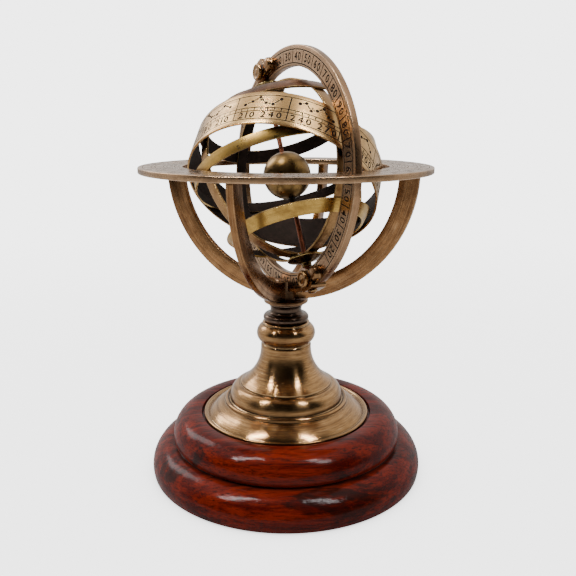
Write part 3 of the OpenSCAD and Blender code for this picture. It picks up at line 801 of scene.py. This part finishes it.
# ---------------------------------------------------------------- saddles, thumb screws, nuts
saddles, thumbs = [], []
saddle_outline = rounded([(-3.5, 36.6), (3.5, 36.6), (3.5, 43.2), (-3.5, 43.2)], 1.2, 5)
tab_turn = math.radians(TAB_ANGLE)
tab_end = arc(-TAB_MID * math.sin(tab_turn), TAB_MID * math.cos(tab_turn), (TAB_OUT - TAB_IN) / 2,
              90 + TAB_ANGLE, 270 + TAB_ANGLE, 20)
tab_outline = (arc(0, 0, TAB_OUT, 90, 90 + TAB_ANGLE, 12) + tab_end[1:-1]
               + arc(0, 0, TAB_IN, 90 + TAB_ANGLE, 90, 12))
post = lathe_data(
    [(0, 1.2), (2.5, 1.2), (2.5, 2.9), (2.4, 3.35), (2.1, 3.68), (1.5, 3.9), (0.8, 3.98), (0, 4.0)], 64)
HEAD_R, KNURLS = 2.9, 36
verts, screw_faces = lathe_data(
    [(0, 2.5), (0.9, 2.5), (0.9, 3.7), (2.3, 3.7), (2.75, 3.85), (3.0, 4.15), (3.0, 4.65), (2.8, 4.95),
     (2.45, 5.1), (2.2, 5.05), (1.9, 4.85), (1.2, 4.8), (0.8, 4.95), (0, 5.05)], 144)
screw_verts = []
for x, y, z in verts:
    k = 1.0
    if math.hypot(x, y) > HEAD_R:
        k = 1 - 0.035 * (0.5 + 0.5 * math.cos(KNURLS * math.atan2(y, x)))
    screw_verts.append((-z, y * k, THUMB_R + x * k))


def upright(x, y, z):
    """A flat outline in the meridian ring's plane, drawn out towards the east."""
    return z, x, y


def westward(height):
    """A turned shape at that height above the centre, its top towards the west."""
    return lambda x, y, z: (-z, y, height + x)


for name, side in (("north", 1), ("south", -1)):
    m = POLAR @ Matrix.Diagonal((1, 1, side, 1))
    ob = make(name + "_saddle", move_data(prism_data(saddle_outline, -3.6, 2.1), upright), m, [SADDLE_MAT])
    cut(ob, move_data(prism_data(tab_outline, -2.32, -1.2), upright), m, op="UNION")
    cut(ob, move_data(post, westward(TAB_MID)), m @ rot(TAB_ANGLE, "X"), op="UNION")
    half = MERIDIAN_HALF + GAP
    cut(ob, move_data(flat_ring(20, MERIDIAN_R + GAP, -half, half, 240), upright), m)
    cut(ob, rod_data(ROD_BORE_R, 30, 50), m @ Matrix.Translation((ROD_X, 0, 0)))
    cut(ob, move_data(rod_data(0.95, 0, 8), westward(THUMB_R)), m)
    bevel(ob, 0.3, 3, 50)
    saddles.append(ob)
    thumbs.append(make(name + "_thumb_screw", (screw_verts, screw_faces), m, [SCREW_MAT], 50))
dome = lathe_data([(0, 43.98), (ROD_BORE_R, 43.98), (ROD_BORE_R, 43.22), (1.45, 43.22), (1.6, 43.37),
                   (1.6, 43.82)] + arc(0, 42.31, 2.2, 43, 90, 10)[1:-1] + [(0, 44.51)], 48)
nut_parts = [move_data(dome, placed(rot(side, "X"))) for side in (0, 180)]
nuts = make("axis_nuts", join_data(nut_parts), AXIS, [SCREW_MAT])

STEEL = plated_steel()
for n in ("tie_bolt", "bolt_washer"):
    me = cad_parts[n].data
    me.materials.clear()
    me.materials.append(STEEL)

# body, material slot of the frame, pieces
RIDES = (("stand", "wood", [wood]), ("stand", "felt", [felt]), ("stand", "turned_brass", [foot]),
         ("stand", "dark_bronze", [collar]), ("stand", "cradle_brass", [hub] + arms),
         ("stand", "ring_brass", [horizon]), ("stand", "bright_brass", [screw_ob]),
         ("meridian", "ring_brass", [meridian]), ("meridian", "copper_rod", [rod]),
         ("meridian", "bright_brass", [nuts] + saddles), ("meridian", "black_band", [globe_collar]),
         ("cage", "black_band", [equinox, solstice]),
         ("cage", "hoop_brass", [equator, tropic_n, tropic_s] + plates),
         ("cage", "zodiac_brass", [zodiac]), ("ball", "globe_brass", [globe]),
         ("north_screw", "bright_brass", [thumbs[0]]), ("south_screw", "bright_brass", [thumbs[1]]))
for body, slot, obs in RIDES:
    for ob in obs:
        node = ob.name.split(".")[0]      # Blender adds a number where the CAD node has the name
        ob.name = "v_" + node
        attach(ob, body)
        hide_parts(node)

# ---------------------------------------------------------------- stage, light, camera
AZ, PITCH = math.radians(-28.5), math.radians(14.05)    # where the camera stands, and how far it looks down
DIST, CAM_UP = 240.5, 17.0                              # from the axis, and above the horizon ring (mm)
FOCAL, SENSOR, PICTURE = 680.0, 36.0, 576               # focal length and picture width in pixels, sensor in mm
WHITE = (1.0, 1.0, 1.0, 1.0)
BACK_LEVEL = 4.2                                        # brightness of the backdrop as the camera sees it


def direction(azimuth, elevation):
    """Unit vector from the object to a place azimuth degrees right of the camera, elevation degrees up."""
    a, e = AZ + math.radians(azimuth), math.radians(elevation)
    return Vector((math.sin(a) * math.cos(e), -math.cos(a) * math.cos(e), math.sin(e)))


def camera_split(tree, lit, shown, output):
    """The camera sees the socket shown; every other ray meets lit."""
    ray = add_node(tree, "ShaderNodeLightPath").outputs["Is Camera Ray"]
    both = add_node(tree, "ShaderNodeMixShader", {0: ray})
    tree.links.new(lit, both.inputs[1])
    tree.links.new(shown, both.inputs[2])
    tree.links.new(both.outputs[0], output_node(tree, output).inputs["Surface"])


def floor_material():
    s = Shader("floor")
    s.put(Base_Color=(0.5, 0.5, 0.5), Roughness=0.8, Specular_IOR_Level=0.1)
    # the camera sees a glow with a painted contact shadow from occlusion and painted shade darkening towards
    # the object
    shade = s.remap(s.occlusion(0.07, 16, False), 0.0, 1.0, 0.35, 1.0)
    near = s.remap(s.r, 60.0, 600.0, 0.86, 1.0)
    level = s.times(s.times(shade, near), BACK_LEVEL)
    shown = s.add("ShaderNodeEmission", {"Color": WHITE, "Strength": level})
    low = s.add("ShaderNodeEmission", {"Color": WHITE, "Strength": 0.07})
    lit = s.add("ShaderNodeAddShader", {0: s.bsdf.outputs[0], 1: low.outputs[0]})
    camera_split(s.tree, lit.outputs[0], shown.outputs[0], "OUTPUT_MATERIAL")
    return s.material


floor_profile = [(0, 0), (400, 0), (6000, 0), (6000, -10), (0, -10)]
floor = make("floor", lathe_data(floor_profile, 96), materials=[floor_material()])

# a bright room beside and behind the object, dark on the camera's side, with a dim ceiling
world = bpy.data.worlds.new("world")
world.use_nodes = True
wt = world.node_tree
ray = add_node(wt, "ShaderNodeTexCoord").outputs["Generated"]
front = add_node(wt, "ShaderNodeVectorMath", {0: ray, 1: tuple(direction(0, 0))},
                 operation="DOT_PRODUCT").outputs["Value"]
up = add_node(wt, "ShaderNodeSeparateXYZ", {0: ray}).outputs[2]
sides = remap_node(wt, front, -0.15, 0.4, 0.95, 0.012)
ceiling = remap_node(wt, up, 0.8, 0.97, 0.0, 0.12)
level = add_node(wt, "ShaderNodeMath", {0: sides, 1: ceiling}, operation="MAXIMUM").outputs[0]
strength = add_node(wt, "ShaderNodeMath", {0: level, 1: 1.15}, operation="MULTIPLY").outputs[0]
room = add_node(wt, "ShaderNodeBackground", {"Color": (1.0, 0.985, 0.96, 1), "Strength": strength})
seen = add_node(wt, "ShaderNodeBackground", {"Color": WHITE, "Strength": BACK_LEVEL})
camera_split(wt, room.outputs[0], seen.outputs[0], "OUTPUT_WORLD")
bpy.context.scene.world = world


def area(name, azimuth, elevation, width, height, watts):
    """A rectangular lamp a metre from the object, in that direction."""
    d = bpy.data.lights.new(name, "AREA")
    d.shape = "RECTANGLE"
    d.size, d.size_y, d.energy = width, height, watts
    ob = bpy.data.objects.new(name, d)
    bpy.context.scene.collection.objects.link(ob)
    v = direction(azimuth, elevation)
    ob.location = v + Vector((0, 0, 0.05))
    ob.rotation_euler = v.to_track_quat("Z", "Y").to_euler()


area("over_left", -66, 60, 0.08, 0.5, 8)
area("over_right", 50, 60, 0.05, 0.5, 5.5)
area("soft_left", -128, 35, 0.3, 0.5, 3)

cam = bpy.data.cameras.new("camera")
cam.sensor_width = SENSOR
cam.lens = FOCAL * SENSOR / PICTURE
cam.shift_x = 0.0035
cam.clip_start, cam.clip_end = 0.01, 20
cam_ob = bpy.data.objects.new("camera", cam)
bpy.context.scene.collection.objects.link(cam_ob)
cam_ob.location = Vector((math.sin(AZ) * DIST, -math.cos(AZ) * DIST, HORIZON_Z + CAM_UP)) * MM
cam_ob.rotation_euler = (math.pi / 2 - PITCH, 0, AZ)
bpy.context.scene.camera = cam_ob
